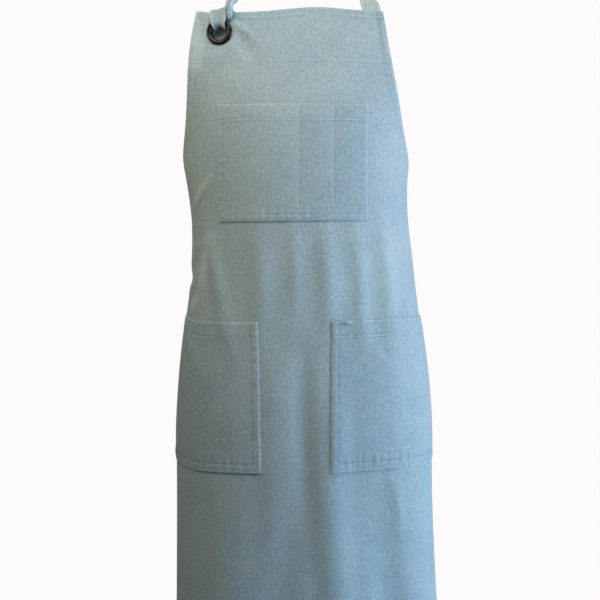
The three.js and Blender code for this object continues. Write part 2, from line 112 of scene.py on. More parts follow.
# Short creases about points of the cut: a turn is in degrees from across towards down
Crease = namedtuple("Crease", "across drop turn length reach rise")
CREASES = in_metres(Crease, [
    (-205, 368, 0, 100, 19, -2.5), (-64, 29, 36, 64, 8, 2.6), (-60, 50, 52, 80, 18, -3),
    (-146, 252, 137, 90, 11, 3), (-150, 353, 115, 110, 15, 3), (-70, 16, 22, 34, 5, -1.2),
    (-152, 322, -18, 100, 12, 1.5), (-168, 350, -10, 90, 13, -1.2), (-175, 378, -4, 85, 13, 1.4),
    (172, 345, 8, 80, 13, 0.9), (165, 392, 12, 70, 12, -0.8), (94, 268, 82, 38, 4, 0.9),
    (101, 262, 86, 30, 3, -0.7), (-121, 655, 90, 60, 7, 1.1), (104, 645, 84, 45, 5, 0.8),
    (120, 648, 88, 55, 6, -1), (133, 646, 92, 45, 5, 0.8), (-165, 462, 62, 95, 18, 2),
    (118, 478, 58, 85, 12, 0.9), (160, 500, 66, 90, 14, -0.8), (59, 570, 90, 200, 28, 3.2),
    (143, 680, 84, 120, 14, 2.6), (-134.5, 36, 101, 170, 19, 5.8),
], "turn")

# Places of the panel painted lighter, where light catches the folds: their rise is how much lighter
PAINTED_LIGHT_STREAKS = in_metres(Crease, [
    (135, 350, 90, 200, 45, 0.6), (-146, 252, 137, 100, 10, 1.3), (-141, 350, 107, 100, 13, 1.7),
    (-166, 398, 135, 56, 11, 2.0),
], "turn", "rise")

# Patches on the panel: the mouth's left end, the width, how the sides lean by the foot, and what the sewing
# has done; shade is a painted shade line just inside the second stitch, and the colour is darker from a start
# to an end, by so much: painted shade on the hip pockets' left parts
Pocket = namedtuple("Pocket", "left width lean_left lean_right mouth depth slack seams second_stitch "
                              "mouth_groove gather shade fuller")
CHEST = Pocket(-0.104, 0.211, -0.0035, -0.002, 0.131, 0.158, slack=0.0016, seams=(0.115, 0.1618),
               second_stitch=0.0066, mouth_groove=0.0004, gather=0.0002, shade=0.4,
               fuller=(0.114, 0.142, 0.4))
HIP_SEWING_AND_SHADE = {"seams": (), "second_stitch": 0.0082, "mouth_groove": 0.0006, "gather": 0.0007, "shade": 0.9}
HIP_LEFT = Pocket(-0.2655, 0.216, 0.0, 0.003, 0.425, 0.205, slack=0.0005, fuller=(0.19, 0.15, 0.45),
                  **HIP_SEWING_AND_SHADE)
HIP_RIGHT = Pocket(0.0495, 0.216, -0.003, 0.0, 0.425, 0.205, slack=0.0015, fuller=(0.09, 0.055, 0.4),
                   **HIP_SEWING_AND_SHADE)
POCKETS = {"chest_pocket": CHEST, "hip_pocket_left": HIP_LEFT, "hip_pocket_right": HIP_RIGHT}
POCKET_HEM = 0.022
MOUTH_STITCH = POCKET_HEM - 0.001
POCKET_EDGE = 0.009  # width of the folded edge that is sewn down
POCKET_STEP = 0.0022
EDGE_STITCH = 0.0016
FOOT_SHARE = 0.78  # the stitches lie further from a pocket's foot than from its sides
HIP_HITCH = 0.008  # the left hip pocket is drawn up round the side
HIP_HUG = 0.0016  # both hip pockets are pulled flat round the sides
GAPE_AT, GAPE_REACH = 0.018, 0.009  # the right hip pocket's mouth stands open here, from its inner edge
PULL_AT, PULL_SLOPE = 0.011, 0.30  # a pull runs aslant from that mouth

# Eyelet, clinched through the bib and its facing: profiles are radii and heights from the seats, in mm
EYELET_ACROSS = -0.0956
EYELET_DROP = 0.0316
EYELET_HOLE = 0.0136
EYELET_SEAT = 0.0007
EYELET_BEHIND = -(2 * CLOTH + SEAT) - EYELET_SEAT - 0.0003
FLANGE_FRONT = [
    (12.4, 0), (17.9, 0), (18.4, 0.6), (18.1, 1.3), (17.5, 2), (16.5, 2.5),
    (15.4, 2.7), (13.8, 2.5), (12.6, 1.9), (11.7, 1), (11.4, 0),
]
FLANGE_BACK = [(11.4, 0), (11.6, -2.6), (12.4, -3), (13.4, -2.9), (14.2, -2.4), (13.6, -1.7), (12.4, -1.6)]
WASHER = [(12.7, -1.4), (17.2, -1.1), (17.6, -0.7), (17.4, -0.1), (17, 0), (12.7, 0)]
RING_STEPS = 72

# Straps and ties: flat tubes of folded cloth
STRAP_WIDTH = 0.025
STRAP_WALL = 0.0024
STRAP_ROUND = 0.0009
STRAP_COLUMNS = 13
STRAP_STITCH = 0.003  # from a strap's edge
TIE_DROP = ARMHOLE_DROP + 0.015
TIE_SEWN = 0.026
TIE_SEAT = HEM_WALL + 1.6 * SEAT
LOOP_SHADE = -0.8  # painted shade: the loop is made darker than the other straps

# Stops of a strap: a place, the way the outer face looks and, where it is drawn in, the width
Stop = namedtuple("Stop", "at look width", defaults=[STRAP_WIDTH])
NECK_PATH = [Stop(*row) for row in [
    ((0.0885, -0.114, -0.05), (0.66, -0.56, 0.5)),
    ((0.077, -0.09, -0.029), (0.75, -0.35, 0.55)),
    ((0.0645, -0.062, -0.011), (0.9, 0.0, 0.35)),
    ((0.049, -0.025, -0.003), (0.8, 0.6, 0.1)),
    ((0.026, -0.0045, 0.0), (0.4, 0.9, 0.0)),
    ((0.0, STRAP_WALL / 2, 0.0), (0.0, 1.0, 0.0)),
    ((-0.026, -0.0045, 0.0), (-0.4, 0.9, 0.0)),
    ((-0.049, -0.025, -0.003), (-0.8, 0.6, 0.1)),
    ((-0.0635, -0.068, -0.012), (-0.95, 0.0, 0.2), 0.024),
    ((-0.0725, -0.097, -0.029), (-0.92, -0.2, 0.3), 0.02),
    ((-0.081, -0.121, -0.047), (-0.8, -0.5, 0.3), 0.015),
    ((-0.0886, -0.141, -0.062), (-0.2, -0.95, 0.25), 0.0115),
]]
SEAM_ACROSS = 0.113
SEAM_DROPS = (0.024, 0.004)
SEAM_OUT = -2 * CLOTH - 2 * SEAT - 0.85 * STRAP_WALL

# Stops of a strap that runs over the bib's top edge, and how far its face leans to the left there
Edge = namedtuple("Edge", "across drop out width lean", defaults=[0.0])
LOOP_PATH = in_metres(Edge, [
    (-95.7, 8, -9.6, 21), (-95.7, 17, -10.8, 18), (-95.6, 24, -9, 15.2), (-95.6, 25, -2.6, 14.4),
    (-95.6, 24.8, 2.6, 14.4), (-95.7, 21.2, 6.2, 18), (-95.8, 14.5, 6.8, 21.5), (-96, 7.5, 5.6, 23.6, 0.05),
    (-96, 2.2, 2.9, 24, 0.2), (-96, 1.3, -2.1, 24, 0.2), (-95.9, 3.6, -5.4, 23, 0.1),
], "lean")
TAIL_PATH = in_metres(Edge, [
    (-80.5, 3.6, 0.8, 6.4), (-80.6, 3.1, -4.6, 6.4), (-80.8, 5.8, -11, 9), (-83.2, 9.5, -14.6, 14),
    (-88, 15, -15.4, 20), (-97.5, 28, -15.4, 25), (-99.5, 46, -14.6, 25), (-96.5, 80, -11.6, 25),
    (-96, 118, -8.7, 25),
])
STRAP_KNOT = (0.00425, 0.0052, 0.0084)  # half sizes
STRAP_KNOT_AT = Edge(-0.0796, 0.0074, 0.0064, 0.0065)
WAIST_KNOT = (0.015, 0.009, 0.012)
WAIST_KNOT_OUT = 0.0026
KNOT_RINGS = 44

# Stops of the bow, from the knot's middle: along the back, away from it and up
Bow = namedtuple("Bow", "along away up width", defaults=[STRAP_WIDTH])
BOW_PATH = in_metres(Bow, [
    (14, -5, 2, 16), (40, -4, 5, 22), (80, -2, -3), (104, 1, -13), (110, 7, -17),
    (102, 12, -14), (78, 12, -5), (40, 9, 2, 22), (14, 5, 0, 16),
])
TIE_END_PATH = in_metres(Bow, [
    (8.6, -1, -11.4, 16), (13, 1, -45, 22), (22, 8, -120), (29, 15, -200), (32, 19, -285),
])

# Thread and weave
STITCH_PITCH = 0.0033
STITCH_LENGTH = 0.0026
STITCH_STEP = 0.002  # between the points of a sewn line
STITCH_PROBE = 0.0008
SEWN_MARGIN = 0.003  # from the ends of a row to the cloth's edge
THREAD_RADIUS = 0.00032
WEAVE_PITCH = 0.0005

# Camera, from the photograph's perspective
AIM = Vector((0.0055, -0.18, -0.47))
DISTANCE = 2.2
AZIMUTH = math.radians(4.5)
ELEVATION = math.radians(3.0)
FIELD = math.radians(20.86)
SENSOR = 36.0

FLOOR_Z = -1.45
FLOOR_SIDE = 3.0

# Soft lights: place, aim, size, power and colour
LIGHTS = {
    "window": ((1.6, -0.75, -0.45), (0.0, -0.1, -0.6), (1.0, 1.2), 25.2, (0.41, 0.77, 1.0)),
    "side_window": ((1.7, 0.25, -0.2), (0.1, -0.05, -0.45), (1.0, 1.4), 11.8, (1.0, 0.83, 0.91)),
    "overhead": ((-0.15, -0.7, 0.45), (-0.05, -0.15, -0.15), (1.0, 0.5), 6.7, (1.0, 0.95, 0.87)),
    "room": ((-0.7, -0.6, 0.0), (-0.12, -0.1, -0.27), (0.5, 0.4), 2.0, (1.0, 0.79, 0.34)),
    "lamp": ((0.8, -0.6, 0.0), (0.12, -0.1, -0.25), (0.5, 0.4), 2.5, (1.0, 0.50, 0.03)),
    "behind": ((-0.2, 1.9, 1.1), (0.0, -0.1, -0.6), (1.8, 1.8), 44.0, (1.0, 0.97, 0.93)),
}


# The flat cut and where it lies on the body

DROP_STEP = 0.004
ARC_STEP = 0.002
LONGEST_ARC = 0.56
NORMAL_STEP = 0.0015


def unit(vectors):
    return vectors / np.linalg.norm(vectors, axis=-1, keepdims=True)


def lengths_along(points):
    """How far each point lies along the line from the first."""
    return np.cumsum([0, *np.linalg.norm(np.diff(points, axis=0), axis=1)])


def hermite(start, end, leave, enter, t):
    """Between two stops at shares t, by how the line leaves one and enters the other."""
    eased = t * t * (3 - 2 * t)
    return start * (1 - eased) + end * eased + leave * t * (1 - t) ** 2 - enter * t * t * (1 - t)


def section_at(drop):
    """The body's section at each drop, by a cubic through the table's rows."""
    drops, values = SECTIONS[:, 0], SECTIONS[:, 1:]
    last = len(drops) - 1
    before = np.maximum(np.arange(last + 1) - 1, 0)
    after = np.minimum(np.arange(last + 1) + 1, last)
    slope = (values[after] - values[before]) / (drops[after] - drops[before])[:, None]
    row = np.clip(np.searchsorted(drops, drop) - 1, 0, last - 1)
    span = (drops[row + 1] - drops[row])[..., None]
    t = np.clip((drop - drops[row])[..., None] / span, 0, 1)
    columns = hermite(values[row], values[row + 1], span * slope[row], span * slope[row + 1], t)
    return Section(*np.moveaxis(columns, -1, 0))


def arc_steps(section, turns):
    """Lengths round a section from each turn to the next."""
    x = section.half * np.sin(turns)
    y = -np.where(turns < math.pi / 2, section.front, section.back) * np.cos(turns)
    return np.hypot(np.diff(x), np.diff(y))


def turn_table():
    """The turn round the body by drop and by arc length from the front's middle."""
    turns = np.linspace(0, math.pi, 361)
    arcs = np.arange(0, LONGEST_ARC, ARC_STEP)
    rows = []
    for drop in np.arange(0, LENGTH + DROP_STEP, DROP_STEP):
        reached = np.cumsum([0, *arc_steps(section_at(drop), turns)])
        rows.append(np.interp(arcs, reached, turns))
    return np.array(rows)


TURNS = turn_table()


def turn_at(drop, arc):
    row = np.clip(drop / DROP_STEP, 0, TURNS.shape[0] - 1.001)
    column = np.clip(arc / ARC_STEP, 0, TURNS.shape[1] - 1.001)
    i, j = row.astype(int), column.astype(int)
    down, along = row - i, column - j
    upper, lower = (TURNS[k, j] * (1 - along) + TURNS[k, j + 1] * along for k in (i, i + 1))
    return upper * (1 - down) + lower * down


def on_body(across, drop):
    """Where points of the flat cut lie on the body, before they are folded."""
    half, front, back, behind, drift, slide, hitch = section_at(drop)
    arc = across + slide
    turn = turn_at(drop, np.abs(arc))
    x = np.sign(arc) * half * np.sin(turn)
    deep = np.where(turn < math.pi / 2, front, back)
    y = AXIS_Y + behind - deep * np.cos(turn)
    return np.stack([x + drift, y, TOP_Z - drop + hitch * x], axis=-1)


def normal_of(surface, across, drop):
    across_way = surface(across + NORMAL_STEP, drop) - surface(across - NORMAL_STEP, drop)
    down_way = surface(across, drop + NORMAL_STEP) - surface(across, drop - NORMAL_STEP)
    return unit(np.cross(down_way, across_way))


def ridge(share):
    return np.cos(np.clip(share, -1, 1) * math.pi / 2) ** 2


def crest(crease, across, drop):
    turn = math.radians(crease.turn)
    from_across, from_drop = across - crease.across, drop - crease.drop
    along = (from_across * math.cos(turn) + from_drop * math.sin(turn)) / (crease.length / 2)
    aside = (from_drop * math.cos(turn) - from_across * math.sin(turn)) / crease.reach
    return crease.rise * ridge(aside) * ridge(along)


def fold_lift(across, drop):
    """How far the folds and creases lift the cloth out of the body's form."""
    lift = np.zeros(np.broadcast(across, drop).shape)
    for fold in FOLDS:
        side = (across - fold.across - fold.lean * (drop - fold.top)) / fold.reach
        down = np.clip((drop - fold.top) / (fold.bottom - fold.top), 0, 1)
        lift += fold.rise * ridge(side) * np.sin(down * math.pi) ** 1.5
    for crease in CREASES:
        lift += crest(crease, across, drop)
    return lift


def face(across, drop):
    """The panel's front face without its seams."""
    return on_body(across, drop) + normal_of(on_body, across, drop) * fold_lift(across, drop)[..., None]


def off_face(across, drop, out):
    return face(across, drop) + normal_of(face, across, drop) * np.asarray(out)[..., None]


def half_cut(drop):
    share = np.clip(drop / ARMHOLE_DROP, 0, 1)
    return BIB_HALF_TOP + BIB_SPREAD * share + ARMHOLE_SPREAD * share ** ARMHOLE_POWER


def bowed(across, drop):
    """Lower towards the ends of the top edge, fading out over the facing."""
    fade = np.maximum(0, 1 - drop / (1.25 * FACING_DEPTH))
    dip = TOP_DIP * (1 - LEFT_LIFT * ease(-0.100, -0.128, across))
    return drop + dip * fade * (1 - bell(across - TOP_PEAK, TOP_REACH))


# Seams and hems as small reliefs

GROOVE_REACH = 0.0011
PUCKER_REACH = 0.0065
PUCKER_WAVE = 0.011
EDGE_TURN = 0.0018
EDGE_DROP = 0.0007


def ease(low, high, value):
    """From 0 at low to 1 at high, which may be the smaller one."""
    t = np.clip((value - low) / (high - low), 0, 1)
    return t * t * (3 - 2 * t)


def bell(offset, reach):
    return np.exp(-((offset / reach) ** 2))


def ripple(along, seed, wave):
    """Uneven waves along a seam, between about -1 and 1."""
    draw = random.Random(seed)
    total = np.zeros(np.shape(along))
    for _ in range(5):
        length = wave * draw.uniform(0.6, 1.9)
        total = total + np.sin(along * math.tau / length + draw.uniform(0, math.tau))
    return total / 2.6


def sewn(distance, line, seed, along, depth=0.0003, pucker=0.00022):
    """Relief of a row of stitches that lies at a distance from an edge: a groove between puckers."""
    puckers = pucker * bell(distance - line, PUCKER_REACH) * ripple(along, seed, PUCKER_WAVE)
    return puckers - depth * bell(distance - line, GROOVE_REACH)


def folded_edge(distance):
    """A folded edge rolls back where the cloth turns under."""
    return -EDGE_DROP * (1 - np.clip(distance / EDGE_TURN, 0, 1)) ** 2


def panel_relief(across, drop):
    side = half_cut(drop) - np.abs(across)
    foot = LENGTH - drop
    right = across > 0
    hem_shows = np.where(right, 1.0, ease(FACING_DEPTH - 0.004, SIDE_HEM_TOP, drop))
    relief = HEM_RISE * hem_shows * ease(SIDE_HEM + 0.0022, SIDE_HEM - 0.0008, side)
    relief += hem_shows * sewn(side, SIDE_STITCH, 11, np.where(right, drop, -drop), 0.0004, 0.0003)
    relief += HEM_RISE * ease(BOTTOM_HEM + 0.002, BOTTOM_HEM - 0.001, foot)
    relief += sewn(foot, BOTTOM_STITCH, 12, across, 0.0004)
    relief += 0.0003 * ease(FACING_DEPTH + 0.002, FACING_DEPTH - 0.001, drop)
    relief += sewn(drop, FACING_STITCH, 13, across)
    relief += sewn(drop, TOP_STITCH, 14, across)
    return relief + folded_edge(side) + folded_edge(foot) + folded_edge(drop)


def panel_front(across, drop):
    return off_face(across, drop, panel_relief(across, drop))


def panel_back(across, drop):
    return off_face(across, drop, panel_relief(across, drop) - HEM_WALL)


def pocket_edges(pocket, along, down):
    """Distances from a pocket's sides, from its foot, and from the border as its stitches follow it."""
    near_side = np.minimum(along, pocket.width - along)
    foot = pocket.depth - down
    return near_side, foot, np.minimum(near_side, FOOT_SHARE * foot)


def pocket_relief(pocket, along, down):
    """How far a patch pocket's front stands off the panel."""
    seams = [0.0, *pocket.seams, pocket.width]
    slack = np.zeros(np.shape(along))
    for start, end in zip(seams, seams[1:]):
        slack += np.sin(np.clip((along - start) / (end - start), 0, 1) * math.pi)
    slack *= pocket.slack * np.cos(np.clip(down / pocket.depth, 0, 1) * math.pi / 2)
    near_side, foot, border = pocket_edges(pocket, along, down)
    seed = round(1000 * (pocket.left + pocket.mouth))
    pressed = border if pocket is CHEST else near_side
    relief = CLOTH + SEAT + slack - 0.0007 * ease(0.003, 0.0, pressed)
    if pocket is not CHEST:
        from_side = along if pocket is HIP_LEFT else pocket.width - along
        ends = np.maximum(bell(down, 0.02), bell(foot, 0.02))
        relief -= HIP_HUG * ease(0.13, 0.065, from_side) * (0.3 + 0.7 * ends)
    relief += 0.0004 * ease(POCKET_EDGE + 0.002, POCKET_EDGE - 0.001, border)
    relief += HEM_RISE * ease(POCKET_HEM + 0.0022, POCKET_HEM - 0.001, down)
    run = np.where(near_side < foot, down, along)
    for row, line in enumerate((EDGE_STITCH, pocket.second_stitch)):
        relief += sewn(border, line, seed + row, run, pucker=0.00025)
    relief += sewn(down, MOUTH_STITCH, seed + 2, along, pocket.mouth_groove)
    for row, seam in enumerate(pocket.seams):
        relief += sewn(along, seam, seed + 3 + row, down)
    gather = bell(foot - 0.013, 0.008) * ease(0.01, 0.022, near_side)
    relief += pocket.gather * gather * ripple(along, seed + 7, 0.009)
    return relief + folded_edge(near_side) + folded_edge(foot) + folded_edge(down)


def pocket_flat(pocket, along, down):
    """A patch's own coordinates on the panel's cut."""
    foot_share = down / pocket.depth
    lean = pocket.lean_left + (pocket.lean_right - pocket.lean_left) * along / pocket.width
    hitched = HIP_HITCH * ease(0.125, 0.04, along) if pocket is HIP_LEFT else 0.0
    return pocket.left + along + foot_share * lean, pocket.mouth + down - hitched


def pull(along, down):
    """How far a point lies below the pull that runs aslant from the right hip pocket's mouth."""
    return down - PULL_SLOPE * (along - PULL_AT)


def pocket_front(pocket, along, down):
    out = pocket_relief(pocket, along, down)
    if pocket is HIP_RIGHT:
        gape = 0.0016 * bell(down, 0.012) + 0.0008 * bell(pull(along, down), 0.0026)
        out += gape * bell(along - GAPE_AT, GAPE_REACH)
        out += 0.002 * bell(along - 0.15, 0.01) * bell(down, 0.01)
    return off_face(*pocket_flat(pocket, along, down), out)


# Sheets

def spaced(length, step, marks=()):
    """Positions along an edge, at most a step apart, with close ones at each mark."""
    close = 0.0009
    stops = {0.0, length}
    for mark in marks:
        stops.update(mark + k * close for k in range(-2, 3))
    stops = sorted(stop for stop in stops if 0 <= stop <= length)
    places = [0.0]
    for start, end in zip(stops, stops[1:]):
        count = max(1, math.ceil((end - start) / step))
        places += [start + (end - start) * k / count for k in range(1, count + 1)]
    return np.array(places)


def to_mesh(shape, name):
    mesh = bpy.data.meshes.new(name)
    shape.to_mesh(mesh)
    shape.free()
    return mesh


def lay_flat(mesh, flat):
    """Keeps each vertex's place on the flat cut as a UV map."""
    corners = [loop.vertex_index for loop in mesh.loops]
    layer = mesh.uv_layers.new(name="flat")
    layer.uv.foreach_set("vector", flat[corners].ravel())


def sheet_piece(node, slot, points, flat, wear_light_and_shade):
    """A sheet from an operator's grid, put in place by arrays of points, with its flat cut and a per-point
    attribute of its wear and its painted light and shade.
    """
    rows, columns = points.shape[:2]
    sheet = bmesh.new()
    bmesh.ops.create_grid(sheet, x_segments=columns - 1, y_segments=rows - 1, size=0.5)
    mesh = to_mesh(sheet, f"{node}_cloth")
    at = np.array([vert.co for vert in mesh.vertices])
    column = np.rint((at[:, 0] + 0.5) * (columns - 1)).astype(int)
    row = np.rint((0.5 - at[:, 1]) * (rows - 1)).astype(int)
    mesh.vertices.foreach_set("co", points[row, column].ravel())
    lay_flat(mesh, np.stack(flat, -1)[row, column])
    wear_light_and_shade_layer = mesh.attributes.new("wear_light_and_shade", "FLOAT", "POINT")
    wear_light_and_shade_layer.data.foreach_set("value", wear_light_and_shade[row, column])
    mesh.update()
    return add_piece(mesh, slot, node), row, column


def put(name, data):
    made = bpy.data.objects.new(name, data)
    bpy.context.collection.objects.link(made)
    return made


def add_piece(mesh, slot=None, node=None):
    mesh.shade_smooth()
    mesh.materials.append(FINISHES[slot])
    piece = put(mesh.name, mesh)
    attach(piece, "root")
    if node:
        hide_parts(node)
    return piece


def thicken(piece, wall, thick=None, weights=None, offset=-1.0, round_over=0.0005):
    """Gives a sheet its wall, thicker where the weights say, and rounds its cut edges."""
    shell = piece.modifiers.new("wall", "SOLIDIFY")
    shell.offset = offset
    shell.thickness = thick or wall
    if weights is not None:
        group = piece.vertex_groups.new(name="thick")
        for index in np.flatnonzero(weights > 0.01):
            group.add([int(index)], float(weights[index]), "REPLACE")
        shell.vertex_group = group.name
        shell.thickness_vertex_group = wall / thick
    rounded = piece.modifiers.new("round", "BEVEL")
    rounded.width = round_over
    rounded.segments = 2
    rounded.limit_method = "ANGLE"
    rounded.angle_limit = math.radians(55)


def eyelet_axis():
    """The eyelet's middle on the panel's face, and the way out of it."""
    at = EYELET_ACROSS, EYELET_DROP
    return Vector(off_face(*at, 0.0)), Vector(normal_of(face, *at))


def punch(mesh, across, drop):
    """Cuts the eyelet's round hole through a sheet and draws its edge to the hole's radius."""
    radius = np.hypot(across - EYELET_ACROSS, drop - EYELET_DROP)
    middle, out = eyelet_axis()
    sheet = bmesh.new()
    sheet.from_mesh(mesh)
    sheet.verts.ensure_lookup_table()
    gone = [sheet.verts[int(i)] for i in np.flatnonzero(radius < EYELET_HOLE)]
    rim = {edge.other_vert(vert) for vert in gone for edge in vert.link_edges} - set(gone)
    for vert in rim:
        away = vert.co - middle
        away -= out * away.dot(out)
        vert.co += away.normalized() * EYELET_HOLE - away
    bmesh.ops.delete(sheet, geom=gone, context="VERTS")
    sheet.to_mesh(mesh)
    sheet.free()


def panel():
    rows = spaced(LENGTH, PANEL_STEP, (TOP_STITCH, TOP_HEM, FACING_STITCH, LENGTH - BOTTOM_STITCH))
    hem = spaced(SIDE_HEM + 0.003, 0.004, (SIDE_STITCH,))
    middle = np.linspace(-1, 1, 142)[1:-1]
    half, top = half_cut(rows)[:, None], rows[:, None]
    across = np.concatenate([hem - half, middle * (half - hem[-1]), half - hem[::-1]], axis=1)
    drop = bowed(across, top)
    side, foot = half_cut(drop) - np.abs(across), LENGTH - drop
    hem_shows = ease(FACING_DEPTH, SIDE_HEM_TOP, drop)
    wear_light_and_shade = 0.8 * bell(side, RUB_REACH) + 0.8 * bell(foot, RUB_REACH) + 0.2 * bell(top, 0.0025)
    # The edges are rubbed pale. Below the top hem, beside the side hems and below the facing's edge, darker
    # lines are painted shade; the top hem's band is also a little darker
    wear_light_and_shade -= 0.2 * ease(TOP_HEM + 0.001, TOP_HEM, top) + 0.4 * bell(top - TOP_HEM, 0.0014)
    wear_light_and_shade -= 0.5 * bell(side - (SIDE_HEM + 0.0008), 0.0012) * hem_shows
    wear_light_and_shade -= 0.35 * bell(drop - (FACING_DEPTH + 0.001), 0.0014)
    # Painted light on the left edge strip at the bib's top; painted shade in the right top corner and along
    # the right side stitch there
    lit_left_strip = ease(0.023, 0.018, side) * ease(SIDE_HEM_TOP, FACING_DEPTH + 0.006, drop)
    corner = ease(SIDE_HEM + 0.001, SIDE_HEM - 0.002, side) * ease(0.046, 0.022, drop)
    hem_shade_line = bell(side - SIDE_STITCH, 0.0018) * (1 - hem_shows)
    wear_light_and_shade += np.where(across < 0, 0.9 * lit_left_strip, -0.8 * (corner + hem_shade_line))
    # Painted light along the folds
    wear_light_and_shade += sum(crest(place, across, drop) for place in PAINTED_LIGHT_STREAKS)
    hemmed = hem_shows * ease(SIDE_HEM + 0.0015, SIDE_HEM, side)
    hemmed = np.maximum(hemmed, ease(BOTTOM_HEM + 0.0015, BOTTOM_HEM, foot))
    points = panel_front(across, drop)
    piece, row, column = sheet_piece("panel", "chambray", points, (across, drop), wear_light_and_shade)
    thicken(piece, CLOTH, HEM_WALL, hemmed[row, column])
    punch(piece.data, across[row, column], drop[row, column])


def bib_facing():
    rows = FACING_INSET + spaced(FACING_DEPTH - 2 * FACING_INSET, 0.003)
    across = np.linspace(-1, 1, 121) * (half_cut(rows)[:, None] - FACING_INSET)
    drop = bowed(across, rows[:, None])
    points = off_face(across, drop, -CLOTH - SEAT + 0.0002 * ripple(across, 31, 0.03))
    wear_light_and_shade = 0.5 * bell(drop - FACING_DEPTH, 0.003)
    piece, row, column = sheet_piece("bib_facing", "chambray", points, (across, drop), wear_light_and_shade)
    thicken(piece, CLOTH)
    punch(piece.data, across[row, column], drop[row, column])
    width = 2 * float(half_cut(FACING_DEPTH))


def patch_pocket(name, pocket):
    lines = (EDGE_STITCH, pocket.second_stitch)
    right_lines = [pocket.width - line for line in lines]
    foot_lines = [pocket.depth - line / FOOT_SHARE for line in lines]
    columns = spaced(pocket.width, POCKET_STEP, [*lines, *pocket.seams, *right_lines])
    rows = spaced(pocket.depth, POCKET_STEP, [MOUTH_STITCH, *foot_lines])
    along, down = np.meshgrid(columns, rows)
    *_, border = pocket_edges(pocket, along, down)
    start, end, fuller = pocket.fuller
    wear_light_and_shade = 0.45 * bell(border, 0.0014) + 0.45 * bell(down, 0.0018)
    # The colour is darker over one part of each pocket, painted shade on the hip pockets; a dark line just
    # inside the second stitch and one below the hem are painted shade too
    wear_light_and_shade -= fuller * ease(start, end, along)
    wear_light_and_shade -= pocket.shade * bell(border - (pocket.second_stitch + 0.0015), 0.0016)
    wear_light_and_shade -= 0.5 * bell(down - (POCKET_HEM + 0.001), 0.0014)
    # Painted shadow: a dark line under the right hip pocket's open mouth, along the pull
    if pocket is HIP_RIGHT:
        wear_light_and_shade -= 2.8 * bell(along - GAPE_AT, GAPE_REACH) * bell(pull(along, down) - 0.0016, 0.0016)
    at = pocket, along, down
    piece, row, column = sheet_piece(name, "chambray", pocket_front(*at), pocket_flat(*at), wear_light_and_shade)
    folded = ease(POCKET_EDGE + 0.0012, POCKET_EDGE, border)
    folded = np.maximum(folded, 0.6 * ease(POCKET_HEM + 0.0012, POCKET_HEM, down))
    thicken(piece, CLOTH, CLOTH + SEAT, folded[row, column], round_over=0.0004)


# Straps

def curve_through(points, shares):
    """A centripetal curve through points, read at shares of its stops."""
    points = np.asarray(points, dtype=float)
    last = len(points) - 1
    padded = np.concatenate([[2 * points[0] - points[1]], points, [2 * points[-1] - points[-2]]])
    reach = np.clip(np.asarray(shares) * last, 0, last)
    stop = np.minimum(reach.astype(int), last - 1)
    before, start, end, after = (padded[stop + k] for k in range(4))
    steps = np.stack([start - before, end - start, after - end])
    d0, d1, d2 = np.maximum(np.linalg.norm(steps, axis=-1, keepdims=True) ** 0.5, 1e-4)
    leave = ((start - before) / d0 - (end - before) / (d0 + d1) + (end - start) / d1) * d1
    enter = ((end - start) / d1 - (after - start) / (d1 + d2) + (after - end) / d2) * d1
    return hermite(start, end, leave, enter, (reach - stop)[:, None])


ROLLS = np.linspace(0.02, 1.9, 95)  # half turns that a rolled strap makes from edge to edge
ROLLED_WIDTHS = 2 * np.sin(np.minimum(ROLLS, 1) * math.pi / 2) / (ROLLS * math.pi)


class Ribbon:
    """A strap along its stops: its line, its faces and its width, rolled or gathered where that is narrow."""

    def __init__(self, stops, steps, gathers=0, seed=1, depth=1.0):
        shares = np.linspace(0, 1, steps + 1)
        self.line = curve_through([stop.at for stop in stops], shares)
        looks = curve_through([stop.look for stop in stops], shares)
        ahead = unit(np.gradient(self.line, axis=0))
        self.side = unit(np.cross(looks, ahead))
        self.look = np.cross(ahead, self.side)
        index = np.linspace(0, 1, len(stops))
        self.width = np.interp(shares, index, [stop.width for stop in stops])
        self.along = lengths_along(self.line)
        self.length = float(self.along[-1])
        self.wear_light_and_shade = 0.0
        self.gathers = gathers
        self.depth = depth
        self.seed = seed

    def points(self, row, across):
        """Points of the strap's middle sheet at fractional rows and at flat distances from its line."""
        low = np.clip(np.floor(row).astype(int), 0, len(self.along) - 2)
        t = (row - low)[..., None]
        pick = lambda values: values[low] * (1 - t) + values[low + 1] * t
        line, side, look = pick(self.line), pick(self.side), pick(self.look)
        width = pick(self.width[:, None])[..., 0]
        along = pick(self.along[:, None])[..., 0]
        share = across / STRAP_WIDTH
        x, z = self.gathered(width, share, along) if self.gathers else self.rolled(width, share)
        z = z + 0.0003 * ripple(along + 0.7 * across, self.seed + 5, 0.025)
        return line + side * x[..., None] + look * z[..., None]

    def gathered(self, width, share, along):
        """Section of a strap drawn together in pleats."""
        drawn_in = np.maximum(STRAP_WIDTH - width, 0)
        depth = 0.55 * np.sqrt(4 * width * drawn_in) / (math.pi * self.gathers)
        wander = 0.5 * ripple(along, self.seed, 0.03)
        return width * share, depth * np.sin(math.tau * self.gathers * share + wander)

    def rolled(self, width, share):
        """Section of a strap whose edges roll forward."""
        roll = np.interp(width / STRAP_WIDTH, ROLLED_WIDTHS[::-1], ROLLS[::-1])
        radius = STRAP_WIDTH / (roll * math.pi)
        pinch = np.minimum(1, width / (2 * radius * np.sin(np.minimum(roll, 1) * math.pi / 2)))
        middle = np.sin(roll * math.pi / 2) / (roll * math.pi / 2)
        turn = roll * math.pi * share
        return pinch * radius * np.sin(turn), self.depth * radius * (middle - np.cos(turn))


